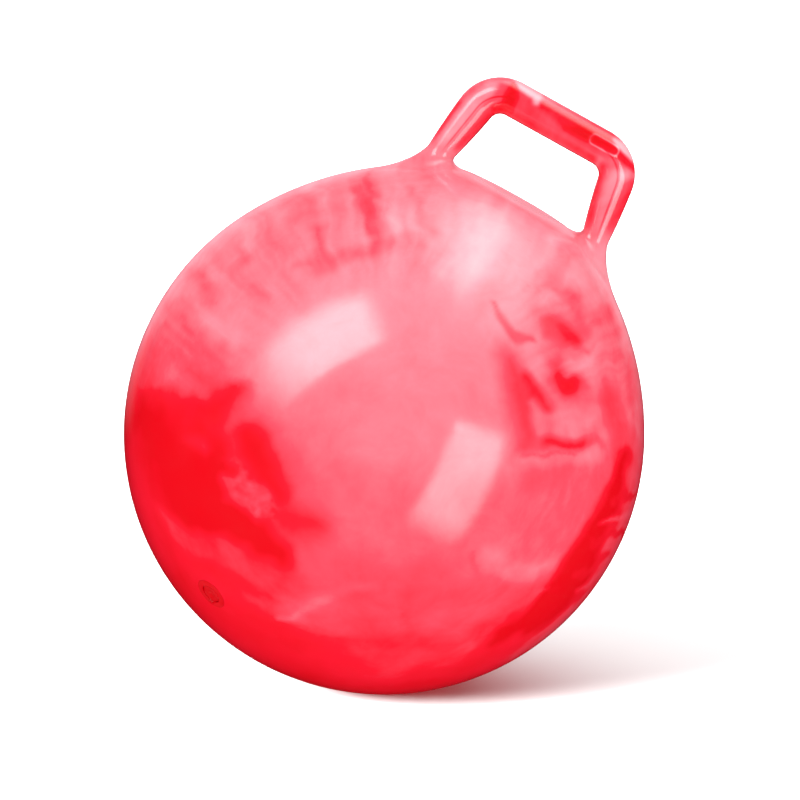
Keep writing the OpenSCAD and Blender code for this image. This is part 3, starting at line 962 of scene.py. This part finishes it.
class BuildStudio(bpy.types.Operator):
    """Build the floor, the soft lights and the camera"""

    bl_idname = "scene.hopper_studio"
    bl_label = "Studio"

    def execute(self, context):
        scene = context.scene
        studio, look = scene.hopper_studio, scene.hopper_look
        bm = bmesh.new()
        bmesh.ops.create_grid(bm, x_segments=1, y_segments=1, size=FLOOR_REACH)
        floor = finished(bm, "studio_floor", False)
        floor.data.materials.append(matt_floor_paint())
        floor.visible_glossy = False  # a softbox that reaches below the floor's level still shows whole
        floor.visible_diffuse = False  # the over-lit floor doesn't glow on the ball's foot
        scene.world = self.white_room(studio)

        for name, radiance, size, facing, spin, fade in SOFTBOXES:
            place, way = self.mirror_place(look.elevation, facing, studio.softbox_away)
            turn = (-way).to_track_quat("-Z", "Y").to_matrix() @ Matrix.Rotation(math.radians(spin), 3, "Z")
            self.softbox(name, radiance, size, Matrix.Translation(place) @ turn.to_4x4(), fade)
        lit = bpy.data.collections.new("lit_by_floor_lights")
        lit.objects.link(floor)
        self.floor_light("floor_key", studio.key_strength, studio.key_softness, studio.key_from, lit)
        self.floor_light("floor_fill", studio.fill_strength, studio.fill_softness, studio.fill_from, lit)

        scene.camera = self.camera(studio, look.elevation)
        scene.view_settings.view_transform = "Standard"
        scene.view_settings.look = "None"
        return {"FINISHED"}

    def camera(self, studio, elevation):
        """A camera that looks down at the ball and frames it left of and below the middle."""
        camera = bpy.data.cameras.new("camera")
        camera.sensor_width = 36
        camera.lens = camera.sensor_width * studio.distance / studio.frame_width
        camera.clip_end = 50
        eye = bpy.data.objects.new("camera", camera)
        back, up = (Vector(way) for way in camera_ways(elevation))
        pixel = studio.frame_width / PICTURE_WIDTH
        aim = CENTRE + Vector((AIM_RIGHT * pixel, 0, 0)) + AIM_UP * pixel * up
        eye.location = aim + studio.distance * back
        eye.rotation_euler = (-back).to_track_quat("-Z", "Y").to_euler()
        bpy.context.scene.collection.objects.link(eye)
        return eye

    def softbox(self, name, radiance, size, place, fade):
        """A light that only shows as a reflection, with square corners. Its edges fade over shares of its
        size, in the order left, right, foot and top."""
        light = bpy.data.lights.new(name, "AREA")
        light.shape = "RECTANGLE"
        light.size, light.size_y = size
        light.energy = radiance * math.pi * size[0] * size[1]
        light.use_nodes = True
        tree = light.node_tree
        tree.nodes.clear()
        surface = node(tree, "ShaderNodeNewGeometry").outputs["Parametric"]
        across = node(tree, "ShaderNodeSeparateXYZ", {}, {"Vector": surface}).outputs
        left, right, foot, top = fade
        edges = [
            node(
                tree, "ShaderNodeMapRange",
                {"From Min": dark, "From Max": bright, "interpolation_type": "SMOOTHSTEP"},
                {"Value": across[axis]},
            ).outputs[0]
            for axis, dark, bright in (("X", 0, left), ("X", 1, 1 - right), ("Y", 0, foot), ("Y", 1, 1 - top))
        ]
        strength = edges[0]
        for edge in edges[1:]:
            both = node(tree, "ShaderNodeMath", {"operation": "MULTIPLY"}, {0: strength, 1: edge})
            strength = both.outputs[0]
        glow = node(tree, "ShaderNodeEmission", {}, {"Strength": strength})
        node(tree, "ShaderNodeOutputLight", {}, {"Surface": glow.outputs[0]})
        lamp = bpy.data.objects.new(name, light)
        lamp.matrix_world = place
        lamp.visible_diffuse = False
        bpy.context.scene.collection.objects.link(lamp)

    def floor_light(self, name, strength, softness, come_from, lit):
        """A light for the floor alone. The key leaves the ball's shadow on the right, and the fill fades it."""
        light = bpy.data.lights.new(name, "SUN")
        light.energy = strength
        light.angle = softness
        lamp = bpy.data.objects.new(name, light)
        lamp.matrix_world = (-Vector(come_from)).to_track_quat("-Z", "Y").to_matrix().to_4x4()
        bpy.context.scene.collection.objects.link(lamp)
        lamp.light_linking.receiver_collection = lit

    def mirror_place(self, elevation, facing, away):
        """Where a light stands, and the way to it, for its image to show at a place on the ball's front.
        The place is right of and above the centre, in ball radii, as the camera sees it."""
        eye, up = (Vector(way) for way in camera_ways(elevation))
        right, rise = facing
        normal = Vector((right, 0, 0)) + rise * up + math.sqrt(1 - right**2 - rise**2) * eye
        way = 2 * normal.dot(eye) * normal - eye
        return CENTRE + BALL_R * normal + away * way, way

    def white_room(self, studio):
        """A white room: even light, a little brighter overhead; plain white to look at; and dim in
        reflections, so that the softboxes show, apart from its upper back, which the ball's rim reflects."""
        world = bpy.data.worlds.new("white_room")
        world.use_nodes = True
        world.cycles.sampling_method = "NONE"  # a sampled world can't tell the two kinds of ray apart
        tree = world.node_tree
        tree.nodes.clear()
        way = node(tree, "ShaderNodeTexCoord").outputs["Generated"]
        parts = node(tree, "ShaderNodeSeparateXYZ", {}, {"Vector": way}).outputs
        light = node(
            tree, "ShaderNodeMapRange",
            {"From Min": -1.0, "From Max": 1.0, "To Min": studio.underfoot, "To Max": studio.overhead},
            {"Value": parts["Z"]},
        )
        behind = node(tree, "ShaderNodeMapRange", {"From Min": 0.8, "From Max": 0.96}, {"Value": parts["Y"]})
        above = node(tree, "ShaderNodeMapRange", {"From Min": -0.14, "From Max": 0.04}, {"Value": parts["Z"]})
        rim = node(
            tree, "ShaderNodeMath", {"operation": "MULTIPLY"}, {0: behind.outputs[0], 1: above.outputs[0]}
        )
        mirrored = node(
            tree, "ShaderNodeMapRange", {"To Min": studio.reflected, "To Max": studio.rim},
            {"Value": rim.outputs[0]},
        )
        white = (1, 1, 1, 1)
        room = node(tree, "ShaderNodeBackground", {"Color": white}, {"Strength": light.outputs[0]})
        blush = linear("#FFC0CC")  # in reflections the room has a pink cast, as the photo's rim has
        dim = node(tree, "ShaderNodeBackground", {"Color": blush}, {"Strength": mirrored.outputs[0]})
        plain = node(tree, "ShaderNodeBackground", {"Color": white, "Strength": 1.0})
        rays = node(tree, "ShaderNodeLightPath").outputs
        lit = node(
            tree, "ShaderNodeMixShader", {},
            {"Fac": rays["Is Glossy Ray"], 1: room.outputs[0], 2: dim.outputs[0]},
        )
        seen = node(
            tree, "ShaderNodeMixShader", {},
            {"Fac": rays["Is Camera Ray"], 1: lit.outputs[0], 2: plain.outputs[0]},
        )
        node(tree, "ShaderNodeOutputWorld", {}, {"Surface": seen.outputs[0]})
        return world


class HopperPanel(bpy.types.Panel):
    """Lists the parts of the hopper ball"""

    bl_idname = "VIEW3D_PT_hopper_ball"
    bl_label = "Hopper ball"
    bl_space_type = "VIEW_3D"
    bl_region_type = "UI"
    bl_category = "Hopper ball"

    def draw(self, context):
        for groups, operator in (
            (("hopper_moulding", "hopper_look"), BuildMoulding),
            (("hopper_valve",), DressValve),
            (("hopper_studio",), BuildStudio),
        ):
            for group in groups:
                settings = getattr(context.scene, group)
                for name in settings.bl_rna.properties.keys():
                    if name not in ("rna_type", "name"):
                        self.layout.prop(settings, name)
            self.layout.operator(operator.bl_idname)


SETTINGS = {
    "hopper_moulding": MouldingSettings,
    "hopper_look": LookSettings,
    "hopper_valve": ValveSettings,
    "hopper_studio": StudioSettings,
}
CLASSES = (*SETTINGS.values(), BuildMoulding, DressValve, BuildStudio, HopperPanel)


def register():
    for cls in CLASSES:
        bpy.utils.register_class(cls)
    for name, group in SETTINGS.items():
        setattr(bpy.types.Scene, name, PointerProperty(type=group))


def unregister():
    for name in SETTINGS:
        delattr(bpy.types.Scene, name)
    for cls in reversed(CLASSES):
        bpy.utils.unregister_class(cls)


def main():
    register()
    bpy.ops.object.hopper_moulding()
    bpy.ops.object.hopper_valve()
    bpy.ops.scene.hopper_studio()


if __name__ == "__main__":
    main()
